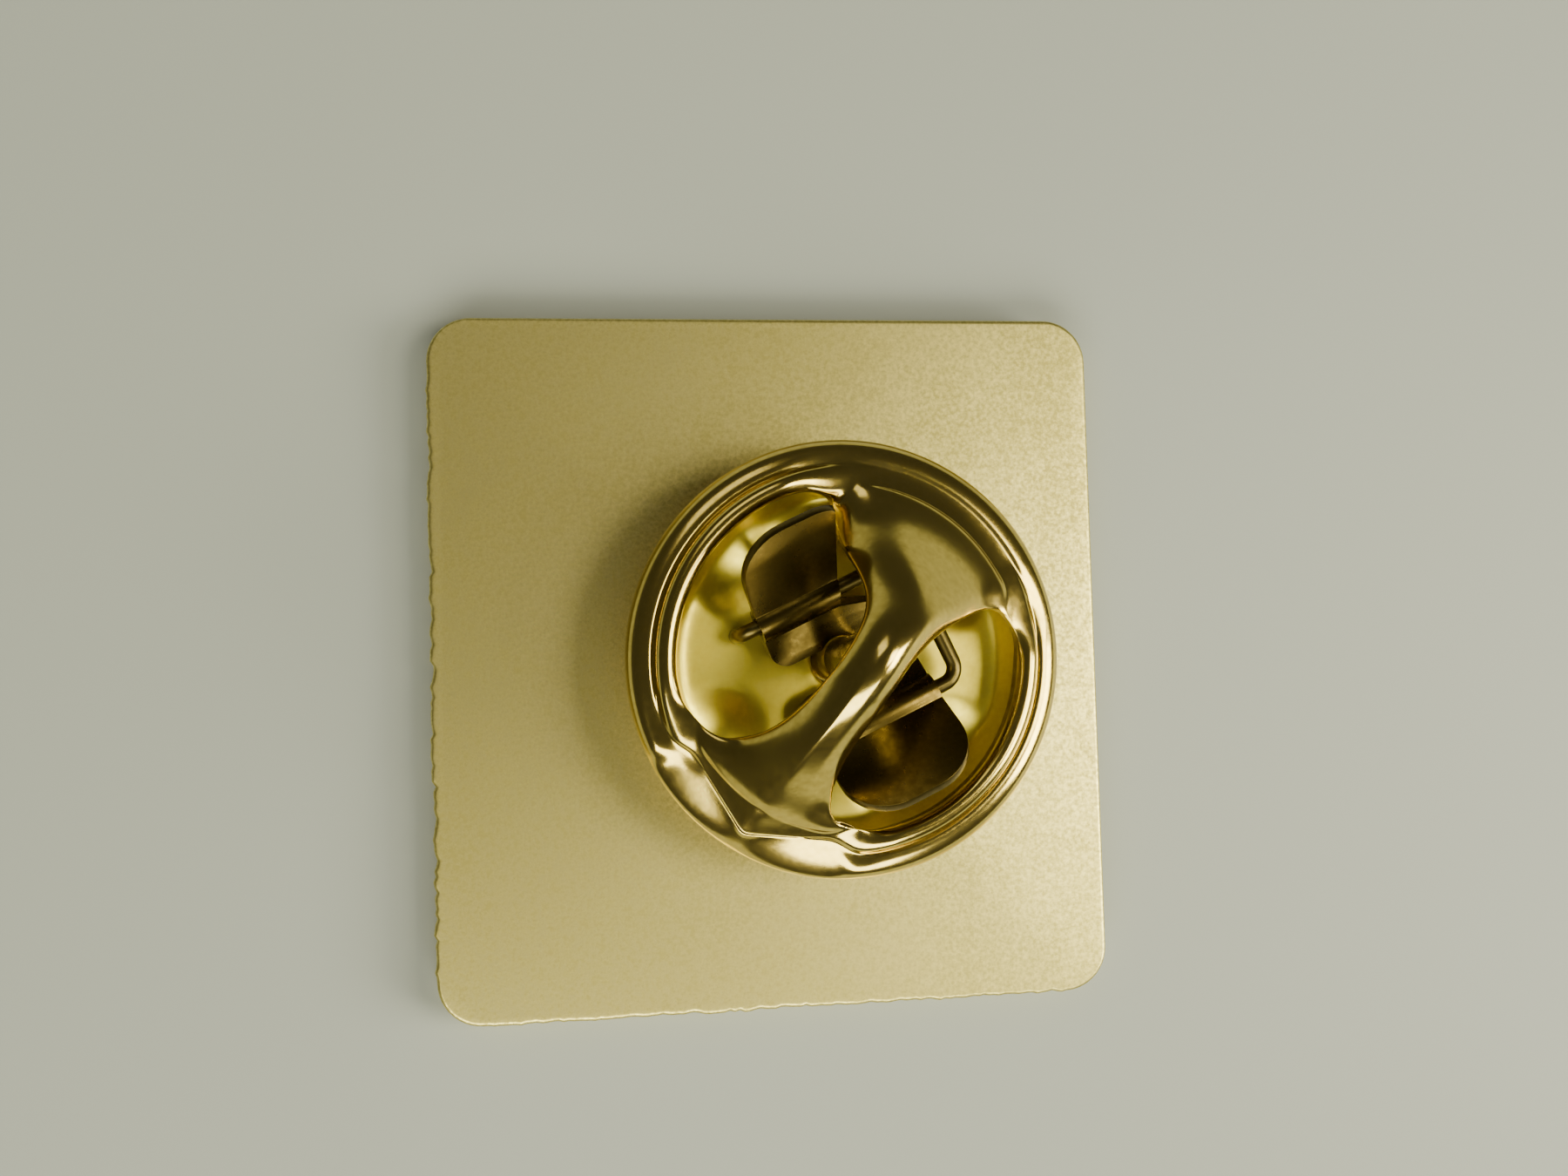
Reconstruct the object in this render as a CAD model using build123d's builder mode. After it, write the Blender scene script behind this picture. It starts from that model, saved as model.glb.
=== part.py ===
# Square lapel pin with a butterfly clutch, lying on its enamelled front.
# +Z points from the front face up towards the clutch. The origin is the centre
# of the plate's outline, in the plane of the front face.

from build123d import *
import os
from math import asin, cos, degrees, radians, sin, tan

os.makedirs("parts", exist_ok=True)

# ---- badge plate -------------------------------------------------------------
plate_width = 18.5
plate_height = 19.0
plate_thickness = 1.2
plate_corner_radius = 1.2
back_edge_radius = 0.12

# ---- struck front: raised border and lines, with enamel between them -----------
border_width = 0.8
line_width = 0.35
cell_depth = 0.35
enamel_drop = 0.1
window_corner_radius = 0.6
core_side = 5.2

# ---- needle soldered to the back ----------------------------------------------
needle_x = 1.5
needle_y = 0.0
needle_radius = 0.575
needle_head_width = 0.525
needle_head_thickness = 0.3
needle_point_length = 1.3
needle_tip_radius = 0.12
groove_depth = 0.13
groove_length = 0.6
solder_width = 0.45
solder_height = 0.28

# ---- clutch: pressed brass housing --------------------------------------------
clutch_gap = 1.5
clutch_height = 5.2
sheet = 0.3
clutch_radius = 5.75
roll_play = 0.03
flange_width = 0.42
flange_height = 0.85
wall_slope = 0.5
needle_hole_play = 0.175
hole_chamfer = 0.12
rim_top = 1.7
groove_top = 1.48
lip_reach = 0.3
bead_top = 1.9
bead_width = 0.55
skirt_depth = 0.6
tip_clearance = 0.15

# ---- six nubs pressed down through the floor, so that they grip cloth ----------
nub_inset = 0.9
nub_radius = 0.8
nub_height = 0.3
nub_angles = (28, 112, 143, 208, 292, 323)

# ---- arched strap across the cap, over the needle's point ----------------------
strap_angle = 50.7
arch_foot = 1.0
strap_grip = 0.06
lower_end_angle = 33.7
upper_end_angle = 36.4
# Places along the strap, as shares of the arch's half span, and the half-width there.
strap_waist = (
    (-0.84, 1.5),
    (-0.58, 1.05),
    (0.0, 0.8),
    (0.35, 0.95),
    (0.64, 1.5),
)

# ---- wings: pinch tabs with gripping jaws, on a wire that is hinge and spring ---
wing_turn = -26.0
wing_sheet = 0.28
wing_width = 3.5
pivot_offset = 1.75
pivot_height = 1.25
knuckle_radius = 0.45
lobe_angle = 42.0
lobe_length = 2.75
lobe_corner_radius = 1.35
jaw_angle = 22.0
jaw_wrap = 0.075
jaw_corner_radius = 0.5
jaw_play = 0.035
wire_radius = 0.2
wire_play = 0.05
wire_end_overhang = 0.5
wire_loop_overhang = 0.75
wire_bend_radius = 0.45
foot_gap = 0.02

# ---- derived places --------------------------------------------------------------
back_z = plate_thickness
clutch_z = back_z + clutch_gap
needle_top = clutch_gap + clutch_height - sheet - tip_clearance
needle_head_radius = needle_radius + needle_head_width
groove_radius = needle_radius - groove_depth
jaw_reach = needle_radius - jaw_wrap
needle_axis = Axis((needle_x, needle_y, 0), (0, 0, 1))
wing_angle = strap_angle + wing_turn
flange_radius = clutch_radius - sheet - roll_play
wall_radius = flange_radius - flange_width
floor_radius = wall_radius - wall_slope


def turned(angle):
    """Unit vector in the plan at an angle from +X."""
    return Vector(cos(radians(angle)), sin(radians(angle)), 0)


def radial_plane(height):
    """Vertical plane through the needle's axis: local X is the radius, local Y points up."""
    return Plane(origin=(needle_x, needle_y, height), x_dir=(1, 0, 0), z_dir=(0, -1, 0))


def flat_plane(angle):
    """Level plane at the clutch's underside: local X points at an angle in the plan."""
    return Plane(origin=(needle_x, needle_y, clutch_z), x_dir=turned(angle), z_dir=(0, 0, 1))


def side_plane(angle):
    """Vertical plane through the needle's axis: local X points at an angle, local Y up."""
    return Plane(origin=(needle_x, needle_y, clutch_z), x_dir=turned(angle), z_dir=turned(angle - 90))


def corners_at(section, *spots):
    """The section's corners nearest to the given spots."""
    return [
        min(section.vertices(), key=lambda corner: (Vector(corner) - Vector(*spot)).length)
        for spot in spots
    ]


def finish(part, name):
    """Label a piece and write its STEP file."""
    part.label = name
    export_step(part, f"parts/{name}.step")


# ==================================================================================
# Badge plate and its enamel cells
# ==================================================================================
window_width = plate_width - 2 * border_width
window_height = plate_height - 2 * border_width
diamond_x = window_width / 2
diamond_y = window_height / 2
line_x = line_width / sin(Vector(diamond_x, diamond_y).get_angle(Vector(1, 0)) * radians(1))
line_y = line_x * diamond_y / diamond_x


def diamond(inset):
    """Diamond whose points reach the window's sides, set in by a share of a line's width."""
    x = diamond_x - inset * line_x
    y = diamond_y - inset * line_y
    return Polygon((x, 0), (0, y), (-x, 0), (0, -y), mode=Mode.PRIVATE)


with BuildSketch() as corner_cells:
    RectangleRounded(window_width, window_height, window_corner_radius)
    add(diamond(-0.5), mode=Mode.SUBTRACT)

with BuildSketch() as field_cell:
    add(diamond(0.5))
    Rectangle(core_side + 2 * line_width, core_side + 2 * line_width, mode=Mode.SUBTRACT)

with BuildSketch() as core_cell:
    Rectangle(core_side, core_side)

with BuildPart() as badge_plate:
    with BuildSketch():
        RectangleRounded(plate_width, plate_height, plate_corner_radius)
    extrude(amount=plate_thickness)
    fillet(badge_plate.faces().sort_by(Axis.Z)[-1].edges(), radius=back_edge_radius)
    with BuildSketch():
        add(corner_cells.sketch)
        add(field_cell.sketch)
        add(core_cell.sketch)
    extrude(amount=cell_depth, mode=Mode.SUBTRACT)
finish(badge_plate.part, "badge_plate")

corner_faces = corner_cells.sketch.faces().sort_by(Axis.Y)
lower_corners = sorted(corner_faces[:2], key=lambda face: face.center().X)
upper_corners = sorted(corner_faces[2:], key=lambda face: face.center().X)
enamel_cells = {
    "enamel_corner_lower_left": lower_corners[0],
    "enamel_corner_lower_right": lower_corners[1],
    "enamel_corner_upper_left": upper_corners[0],
    "enamel_corner_upper_right": upper_corners[1],
    "enamel_field": field_cell.sketch.faces()[0],
    "enamel_core": core_cell.sketch.faces()[0],
}
for cell_name, cell_face in enamel_cells.items():
    with BuildPart() as enamel:
        with BuildSketch(Plane.XY.offset(enamel_drop)):
            add(cell_face)
        extrude(amount=cell_depth - enamel_drop)
    finish(enamel.part, cell_name)

# ==================================================================================
# Needle and the solder that holds it
# ==================================================================================
groove_z = clutch_gap + pivot_height - (pivot_offset - jaw_reach) * tan(radians(jaw_angle))
shaft_top = needle_top - needle_point_length

with BuildPart() as needle:
    with BuildSketch(radial_plane(back_z)):
        with BuildLine():
            groove_start = (needle_radius, groove_z - groove_length / 2)
            groove_end = (needle_radius, groove_z + groove_length / 2)
            Polyline(
                (0, 0),
                (needle_head_radius, 0),
                (needle_head_radius, needle_head_thickness),
                (needle_radius, needle_head_thickness),
                groove_start,
            )
            ThreePointArc(groove_start, (groove_radius, groove_z), groove_end)
            Polyline(
                groove_end,
                (needle_radius, shaft_top),
                (needle_tip_radius, needle_top),
                (0, needle_top),
                (0, 0),
            )
        make_face()
    revolve(axis=needle_axis)
finish(needle.part, "needle")

with BuildPart() as solder_joint:
    with BuildSketch(radial_plane(back_z)):
        with BuildLine():
            foot = (needle_head_radius + solder_width, 0)
            crown = (needle_head_radius, solder_height)
            hollow = (needle_head_radius + 0.4 * solder_width, 0.4 * solder_height)
            Line((needle_head_radius, 0), foot)
            ThreePointArc(foot, hollow, crown)
            Line(crown, (needle_head_radius, 0))
        make_face()
    revolve(axis=needle_axis)
finish(solder_joint.part, "solder_joint")

# ==================================================================================
# Clutch base: dished disc with a flange, a needle hole and six nubs
# ==================================================================================
needle_hole_radius = needle_radius + needle_hole_play
nub_ring_radius = floor_radius - nub_inset
wall_lean = 0.6 * sheet
nub_sphere = (nub_radius**2 + nub_height**2) / (2 * nub_height)
nub_center_z = clutch_z + nub_sphere - nub_height
nub_latitude = -degrees(asin((nub_sphere - nub_height - sheet / 2) / nub_sphere))

with BuildPart() as clutch_base:
    with BuildSketch(radial_plane(clutch_z)) as base_section:
        with BuildLine():
            Polyline(
                (needle_hole_radius, 0),
                (floor_radius, 0),
                (wall_radius, flange_height),
                (flange_radius, flange_height),
                (flange_radius, flange_height + sheet),
                (wall_radius - wall_lean, flange_height + sheet),
                (floor_radius - wall_lean, sheet),
                (needle_hole_radius, sheet),
                close=True,
            )
        make_face()
        bends = corners_at(base_section, (floor_radius, 0), (wall_radius - wall_lean, flange_height + sheet))
        fillet(bends, radius=sheet)
    revolve(axis=needle_axis)
    hole_edges = clutch_base.edges().filter_by(GeomType.CIRCLE).group_by(Axis.Z)[0]
    chamfer(hole_edges.sort_by(SortBy.RADIUS)[0], length=hole_chamfer)
    for angle in nub_angles:
        nub_place = Vector(needle_x, needle_y, nub_center_z) + turned(angle) * nub_ring_radius
        with Locations(nub_place):
            Sphere(nub_sphere, arc_size1=-90, arc_size2=nub_latitude, align=None)
            Sphere(nub_sphere - sheet, mode=Mode.SUBTRACT)
finish(clutch_base.part, "clutch_base")

# ==================================================================================
# Clutch cap: rolled rim, groove, bead round the openings, and the arched strap
# ==================================================================================
roll_inner = flange_radius + roll_play
roll_floor = flange_height - roll_play
roll_ceiling = flange_height + sheet + roll_play
bead_outer = wall_radius
bead_inner = bead_outer - bead_width
bead_middle = (bead_inner + bead_outer) / 2
web_z = bead_top - sheet
groove_reach = roll_inner - bead_outer
arch_rise = clutch_height - bead_top
arch_half_span = bead_inner - arch_foot
strap_end_radius = bead_inner + strap_grip
lower_end = Vector(-strap_end_radius, 0).rotate(Axis.Z, -lower_end_angle)
upper_end = Vector(strap_end_radius, 0).rotate(Axis.Z, upper_end_angle)
strap_outline = [
    (lower_end.X, lower_end.Y),
    *[(share * arch_half_span, half_width) for share, half_width in strap_waist],
    (upper_end.X, upper_end.Y),
]

with BuildSketch() as arch_section:
    with Locations((0, bead_top - sheet / 2)):
        Rectangle(bead_inner + bead_outer, sheet)
    with Locations((0, bead_top)):
        Ellipse(arch_half_span, arch_rise)
    with Locations((0, web_z)):
        Rectangle(2 * clutch_radius, clutch_height, align=(Align.CENTER, Align.MAX), mode=Mode.SUBTRACT)
        Ellipse(arch_half_span - sheet, arch_rise, mode=Mode.SUBTRACT)

with BuildSketch() as strap_plan:
    with BuildLine():
        upper_edge = Spline(*strap_outline)
        lower_edge = Spline(*[(along, -half_width) for along, half_width in strap_outline])
        ThreePointArc(upper_edge @ 0, (-bead_middle, 0), lower_edge @ 0)
        ThreePointArc(upper_edge @ 1, (bead_middle, 0), lower_edge @ 1)
    make_face()

with BuildPart() as clutch_cap:
    with BuildSketch(side_plane(strap_angle)):
        add(arch_section.sketch)
    extrude(amount=clutch_radius, both=True)
    with BuildSketch(flat_plane(strap_angle)):
        add(strap_plan.sketch)
    extrude(amount=clutch_height + sheet, mode=Mode.INTERSECT)
    with BuildSketch(radial_plane(clutch_z)) as rim_section:
        with BuildLine():
            Polyline(
                (roll_inner - lip_reach, roll_floor - sheet),
                (clutch_radius, roll_floor - sheet),
                (clutch_radius, rim_top),
                (bead_outer + groove_reach * 2 / 3, rim_top),
                (bead_outer + groove_reach / 3, groove_top),
                (bead_outer + groove_reach / 6, groove_top),
                (bead_outer - sheet / 4, bead_top),
                (bead_inner, bead_top),
                (bead_inner, bead_top - skirt_depth),
                (bead_inner + sheet, bead_top - skirt_depth),
                (bead_inner + sheet, web_z),
                (bead_outer, roll_ceiling),
                (roll_inner, roll_ceiling),
                (roll_inner, roll_floor),
                (roll_inner - lip_reach, roll_floor),
                close=True,
            )
        make_face()
        roll_corners = corners_at(
            rim_section,
            (clutch_radius, roll_floor - sheet),
            (clutch_radius, rim_top),
        )
        fillet(roll_corners, radius=0.8 * sheet)
        bead_corners = corners_at(rim_section, (bead_outer - sheet / 4, bead_top), (bead_inner, bead_top))
        fillet(bead_corners, radius=sheet / 2)
    revolve(axis=needle_axis)
finish(clutch_cap.part, "clutch_cap")

# ==================================================================================
# Wings: each a sheet tab, a jaw that grips the needle and a knuckle on the wire
# ==================================================================================
jaw_length = (pivot_offset - jaw_reach) / cos(radians(jaw_angle))

for wing_name, side in (("wing_left", 90), ("wing_right", -90)):
    with BuildPart() as wing:
        with BuildSketch(side_plane(wing_angle + side)):
            with Locations((pivot_offset, pivot_height)):
                Rectangle(lobe_length, wing_sheet, rotation=lobe_angle, align=(Align.MIN, Align.CENTER))
                Rectangle(jaw_length, wing_sheet, rotation=180 + jaw_angle, align=(Align.MIN, Align.CENTER))
                Circle(knuckle_radius)
                Circle(wire_radius + wire_play, mode=Mode.SUBTRACT)
        extrude(amount=wing_width / 2, both=True)
        short_edges = wing.edges().filter_by(lambda edge: abs(edge.length - wing_sheet) < wing_sheet / 100)
        fillet(short_edges.group_by(Axis.Z)[-1], radius=lobe_corner_radius)
        short_edges = wing.edges().filter_by(lambda edge: abs(edge.length - wing_sheet) < wing_sheet / 100)
        fillet(short_edges.group_by(Axis.Z)[0], radius=jaw_corner_radius)
        with Locations((needle_x, needle_y, clutch_z)):
            Cylinder(needle_radius + jaw_play, 2 * clutch_height, mode=Mode.SUBTRACT)
    finish(wing.part, wing_name)

# ==================================================================================
# Spring wire: the wings' two pivots, joined by a loop, with feet on the base's floor
# ==================================================================================
foot_z = sheet + foot_gap
wire_end = wing_width / 2 + wire_end_overhang
wire_loop = wing_width / 2 + wire_loop_overhang

with BuildPart() as spring_wire:
    with BuildLine(flat_plane(wing_angle)) as wire_path:
        FilletPolyline(
            (-wire_end, -pivot_offset, foot_z),
            (-wire_end, -pivot_offset, pivot_height),
            (wire_loop, -pivot_offset, pivot_height),
            (wire_loop, pivot_offset, pivot_height),
            (-wire_end, pivot_offset, pivot_height),
            (-wire_end, pivot_offset, foot_z),
            radius=wire_bend_radius,
        )
    with BuildSketch(Plane(origin=wire_path.line @ 0, z_dir=wire_path.line % 0)):
        Circle(wire_radius)
    sweep()
finish(spring_wire.part, "spring_wire")
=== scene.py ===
# %% [markdown]
# # A lapel pin and its butterfly clutch
# The pin lies on its enamelled face, so what shows is its back: a satin gold plate,
# and the round pressed-brass clutch that grips the needle. The CAD model gives every
# place and size. This lesson gives the pieces their pressed, rolled and plated looks.

import bmesh
import bpy
from math import atan2, cos, degrees, pi, radians, sin
from mathutils import Matrix, Vector, noise


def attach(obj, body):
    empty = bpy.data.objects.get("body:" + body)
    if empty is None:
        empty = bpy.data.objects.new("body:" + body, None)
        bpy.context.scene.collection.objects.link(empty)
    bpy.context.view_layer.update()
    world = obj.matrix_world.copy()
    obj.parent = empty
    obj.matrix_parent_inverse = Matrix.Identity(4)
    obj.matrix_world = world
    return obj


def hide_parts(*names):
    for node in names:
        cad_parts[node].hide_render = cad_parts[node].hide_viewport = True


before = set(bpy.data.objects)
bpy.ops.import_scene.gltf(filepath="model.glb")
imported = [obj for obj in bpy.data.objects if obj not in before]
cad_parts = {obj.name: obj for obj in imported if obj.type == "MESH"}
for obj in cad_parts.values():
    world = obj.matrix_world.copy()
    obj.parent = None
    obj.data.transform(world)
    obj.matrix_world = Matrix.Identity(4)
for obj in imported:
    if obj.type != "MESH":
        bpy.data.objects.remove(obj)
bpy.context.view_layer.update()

# %% [markdown]
# Sizes on a pin are read in millimetres, and Blender works here in metres. One factor
# keeps the numbers below in the unit a pin maker would use.

# %% Main places of the pin
MM = 0.001
CLUTCH_X = 1.5
CLUTCH_Y = 0.0
BACK_Z = 1.2
CLUTCH_Z = 2.7
SHEET = 0.3
print("clutch underside at", CLUTCH_Z, "mm")

# %% [markdown]
# ## Helpers
# A finished piece is a mesh whose object sits at the origin. The helper below turns a
# bmesh into such an object: it scales from millimetres, merges doubles, points the
# faces outwards, and marks as sharp only the edges that really are sharp.


# %% Turn a bmesh into a piece
def make_piece(work, name, body, replaced=(), sharp_angle=40):
    """Finish a bmesh in millimetres as a named piece that rides on a body."""
    bmesh.ops.remove_doubles(work, verts=work.verts, dist=0.0005)
    bmesh.ops.recalc_face_normals(work, faces=work.faces)
    bmesh.ops.scale(work, vec=Vector((MM, MM, MM)), verts=work.verts)
    mesh = bpy.data.meshes.new(name)
    work.to_mesh(mesh)
    work.free()
    mesh.shade_smooth()
    mesh.set_sharp_from_angle(angle=radians(sharp_angle))
    piece = bpy.data.objects.new(name, mesh)
    bpy.context.scene.collection.objects.link(piece)
    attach(piece, body)
    if replaced:
        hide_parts(*replaced)
    print(name, len(mesh.polygons), "faces")
    return piece


# %% Copy a CAD node, merged and in millimetres
def merged_copy(node):
    """A bmesh of a CAD node's mesh, with its loose triangles joined up."""
    work = bmesh.new()
    work.from_mesh(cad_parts[node].data)
    bmesh.ops.scale(work, vec=Vector((1 / MM, 1 / MM, 1 / MM)), verts=work.verts)
    bmesh.ops.remove_doubles(work, verts=work.verts, dist=0.0005)
    bmesh.ops.dissolve_limit(work, angle_limit=radians(0.5), verts=work.verts, edges=work.edges)
    return work


# %% Spin a profile about the needle
def spun(profile, steps, start=0.0, sweep=360.0, base_z=CLUTCH_Z):
    """A bmesh of a surface spun about the needle, with its rows numbered in a layer."""
    work = bmesh.new()
    rows = work.verts.layers.float.new("row")
    corners = []
    for number, (radius, height) in enumerate(profile):
        corner = work.verts.new((radius, 0, height))
        corner[rows] = number
        corners.append(corner)
    edges = [work.edges.new(pair) for pair in zip(corners, corners[1:])]
    bmesh.ops.rotate(work, verts=corners, matrix=Matrix.Rotation(radians(start), 3, "Z"))
    bmesh.ops.spin(
        work,
        geom=corners + edges,
        cent=(0, 0, 0),
        axis=(0, 0, 1),
        angle=radians(sweep),
        steps=steps,
        use_merge=sweep == 360.0,
    )
    bmesh.ops.translate(work, vec=(CLUTCH_X, CLUTCH_Y, base_z), verts=work.verts)
    return work


# %% Modifiers that finish a pressed sheet
def thicken(piece, thickness, levels, inner_slot=0):
    """Give a pressed sheet its wall, inwards from the shaped face, and round its bends."""
    wall = piece.modifiers.new("wall", "SOLIDIFY")
    wall.thickness = thickness * MM
    wall.offset = -1
    wall.use_even_offset = True
    wall.material_offset = inner_slot
    wall.material_offset_rim = inner_slot
    soften = piece.modifiers.new("soften", "SUBSURF")
    soften.levels = levels
    soften.render_levels = levels


# %% [markdown]
# ## Finishes
# Gold plate copies the metal under it: a struck plate is satin and mottled, a pressed
# cup is bright with a faint drag of the tool. Two effects are shared by several metals,
# so each is a node group: one mixes two colours with a soft mottle, and one makes the
# height of a fine grain. Both read Object coordinates, so the pattern stays on the piece.


# %% Node helpers
def new_group(name, inputs, outputs):
    """An empty shader node group with the given float or colour sockets."""
    group = bpy.data.node_groups.new(name, "ShaderNodeTree")
    for socket, kind, value in inputs:
        item = group.interface.new_socket(socket, in_out="INPUT", socket_type=kind)
        item.default_value = value
    for socket, kind in outputs:
        group.interface.new_socket(socket, in_out="OUTPUT", socket_type=kind)
    return group, group.nodes.new("NodeGroupInput"), group.nodes.new("NodeGroupOutput")


def add_noise(nodes, links, coordinate, scale, detail=3.0, rough=0.55):
    """A noise texture on a coordinate, at a fixed or a linked scale."""
    texture = nodes.new("ShaderNodeTexNoise")
    texture.inputs["Detail"].default_value = detail
    texture.inputs["Roughness"].default_value = rough
    if hasattr(scale, "is_output"):
        links.new(scale, texture.inputs["Scale"])
    else:
        texture.inputs["Scale"].default_value = scale
    links.new(coordinate, texture.inputs["Vector"])
    return texture.outputs["Fac"]


def add_range(nodes, links, value, low, high, to_low=0.0, to_high=1.0):
    """Map a value from one range to another, clamped."""
    mapper = nodes.new("ShaderNodeMapRange")
    links.new(value, mapper.inputs["Value"])
    for socket, number in zip(
        ("From Min", "From Max", "To Min", "To Max"), (low, high, to_low, to_high)
    ):
        mapper.inputs[socket].default_value = number
    return mapper.outputs["Result"]


FLOAT = "NodeSocketFloat"
COLOR = "NodeSocketColor"
VECTOR = "NodeSocketVector"

# %% Group: soft mottle between two colours and two roughnesses
mottle, mottle_in, mottle_out = new_group(
    "plating_mottle",
    (
        ("Coordinate", VECTOR, (0, 0, 0)),
        ("Light tone", COLOR, (0.8, 0.6, 0.2, 1)),
        ("Deep tone", COLOR, (0.5, 0.35, 0.1, 1)),
        ("Cloud scale", FLOAT, 200.0),
        ("Speck scale", FLOAT, 4000.0),
        ("Speck share", FLOAT, 0.5),
        ("Smooth", FLOAT, 0.15),
        ("Rough", FLOAT, 0.3),
    ),
    (("Color", COLOR), ("Roughness", FLOAT)),
)
nodes, links = mottle.nodes, mottle.links
cloud = add_noise(nodes, links, mottle_in.outputs["Coordinate"], mottle_in.outputs["Cloud scale"])
speck = add_noise(nodes, links, mottle_in.outputs["Coordinate"], mottle_in.outputs["Speck scale"], 2.0)
both = nodes.new("ShaderNodeMix")
links.new(mottle_in.outputs["Speck share"], both.inputs["Factor"])
links.new(cloud, both.inputs[2])
links.new(speck, both.inputs[3])
mask = add_range(nodes, links, both.outputs[0], 0.36, 0.66)
tone = nodes.new("ShaderNodeMix")
tone.data_type = "RGBA"
links.new(mask, tone.inputs["Factor"])
links.new(mottle_in.outputs["Deep tone"], tone.inputs[6])
links.new(mottle_in.outputs["Light tone"], tone.inputs[7])
links.new(tone.outputs[2], mottle_out.inputs["Color"])
sheen = nodes.new("ShaderNodeMix")
links.new(mask, sheen.inputs["Factor"])
links.new(mottle_in.outputs["Rough"], sheen.inputs[2])
links.new(mottle_in.outputs["Smooth"], sheen.inputs[3])
links.new(sheen.outputs[0], mottle_out.inputs["Roughness"])
print("group", mottle.name)

# %% Group: height of a fine surface grain, with a drag in one direction
grain, grain_in, grain_out = new_group(
    "surface_grain",
    (
        ("Coordinate", VECTOR, (0, 0, 0)),
        ("Grain scale", FLOAT, 3000.0),
        ("Drag scale", FLOAT, 800.0),
        ("Drag share", FLOAT, 0.3),
    ),
    (("Height", FLOAT),),
)
nodes, links = grain.nodes, grain.links
fine = add_noise(nodes, links, grain_in.outputs["Coordinate"], grain_in.outputs["Grain scale"], 3.0)
stretch = nodes.new("ShaderNodeMapping")
stretch.inputs["Scale"].default_value = (1.0, 0.08, 0.3)
links.new(grain_in.outputs["Coordinate"], stretch.inputs["Vector"])
drag = add_noise(nodes, links, stretch.outputs["Vector"], grain_in.outputs["Drag scale"], 2.0)
height = nodes.new("ShaderNodeMix")
links.new(grain_in.outputs["Drag share"], height.inputs["Factor"])
links.new(fine, height.inputs[2])
links.new(drag, height.inputs[3])
links.new(height.outputs[0], grain_out.inputs["Height"])
print("group", grain.name)


# %% Build a plated metal from the two groups
def plated_metal(
    name, light, deep, smooth, rough, cloud=260.0, speck=5200.0, share=0.5,
    grain_scale=4200.0, drag_scale=1500.0, drag_share=0.3, bump=0.2, depth=0.01,
):
    """A metal whose tone and gloss drift as gold plate does, over a fine grain."""
    material = bpy.data.materials.new(name)
    material.use_nodes = True
    nodes, links = material.node_tree.nodes, material.node_tree.links
    shader = nodes["Principled BSDF"]
    shader.inputs["Metallic"].default_value = 1.0
    place = nodes.new("ShaderNodeTexCoord").outputs["Object"]
    tones = nodes.new("ShaderNodeGroup")
    tones.node_tree = mottle
    for socket, value in (
        ("Light tone", (*light, 1)),
        ("Deep tone", (*deep, 1)),
        ("Cloud scale", cloud),
        ("Speck scale", speck),
        ("Speck share", share),
        ("Smooth", smooth),
        ("Rough", rough),
    ):
        tones.inputs[socket].default_value = value
    links.new(place, tones.inputs["Coordinate"])
    links.new(tones.outputs["Color"], shader.inputs["Base Color"])
    links.new(tones.outputs["Roughness"], shader.inputs["Roughness"])
    relief = nodes.new("ShaderNodeGroup")
    relief.node_tree = grain
    for socket, value in (
        ("Grain scale", grain_scale),
        ("Drag scale", drag_scale),
        ("Drag share", drag_share),
    ):
        relief.inputs[socket].default_value = value
    links.new(place, relief.inputs["Coordinate"])
    bumps = nodes.new("ShaderNodeBump")
    bumps.inputs["Strength"].default_value = bump
    bumps.inputs["Distance"].default_value = depth * MM
    links.new(relief.outputs["Height"], bumps.inputs["Height"])
    links.new(bumps.outputs["Normal"], shader.inputs["Normal"])
    return material


# %% The metals of the pin
satin_gold = plated_metal(
    "struck_gilt", (0.76, 0.67, 0.23), (0.45, 0.39, 0.11), 0.36, 0.46,
    cloud=330.0, speck=9500.0, share=0.75, grain_scale=9000.0, drag_share=0.15, bump=0.3, depth=0.008,
)
bright_gold = plated_metal(
    "bright_gilt", (0.74, 0.57, 0.14), (0.56, 0.42, 0.09), 0.13, 0.21, drag_share=0.5, bump=0.3,
)
# Darker finish for the cap's skirts and inner wall: mostly painted shade for the recess under the cap,
# over plating that is thinner there.
inner_gold_painted_shade = plated_metal(
    "inner_gilt", (0.34, 0.25, 0.07), (0.2, 0.14, 0.03), 0.28, 0.4, bump=0.3,
)
floor_gold = plated_metal(
    "floor_gilt", (0.95, 0.8, 0.1), (0.84, 0.68, 0.07), 0.34, 0.44, bump=0.2,
)
# The wings' brass is far darker than plated brass: painted shade for their place inside the cap.
wing_gold_painted_shade = plated_metal(
    "wing_brass", (0.13, 0.092, 0.02), (0.075, 0.052, 0.01), 0.24, 0.34, drag_share=0.6, bump=0.2,
)
# The wire is painted nearly black for gold-plated wire: painted shade for its place inside the cap.
wire_gold_painted_shade = plated_metal(
    "wire_painted_shade", (0.13, 0.1, 0.03), (0.085, 0.065, 0.016), 0.3, 0.4, bump=0.2,
)
needle_gold = plated_metal(
    "drawn_gilt", (0.72, 0.62, 0.24), (0.58, 0.48, 0.16), 0.16, 0.28, bump=0.2,
)
solder_gold = plated_metal(
    "gilt_solder", (0.72, 0.64, 0.3), (0.58, 0.5, 0.22), 0.3, 0.5, cloud=900.0, bump=0.6, depth=0.03,
)
print("metals", [m.name for m in bpy.data.materials if m.use_nodes])


# %% [markdown]
# Soft enamel is a coloured resin that fills the struck cells. It is glossy, lies a
# little below the metal lines, climbs them in a thin meniscus, and carries the slow
# ripple that painters call orange peel. A clear coat over a plain colour gives the gloss.


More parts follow.
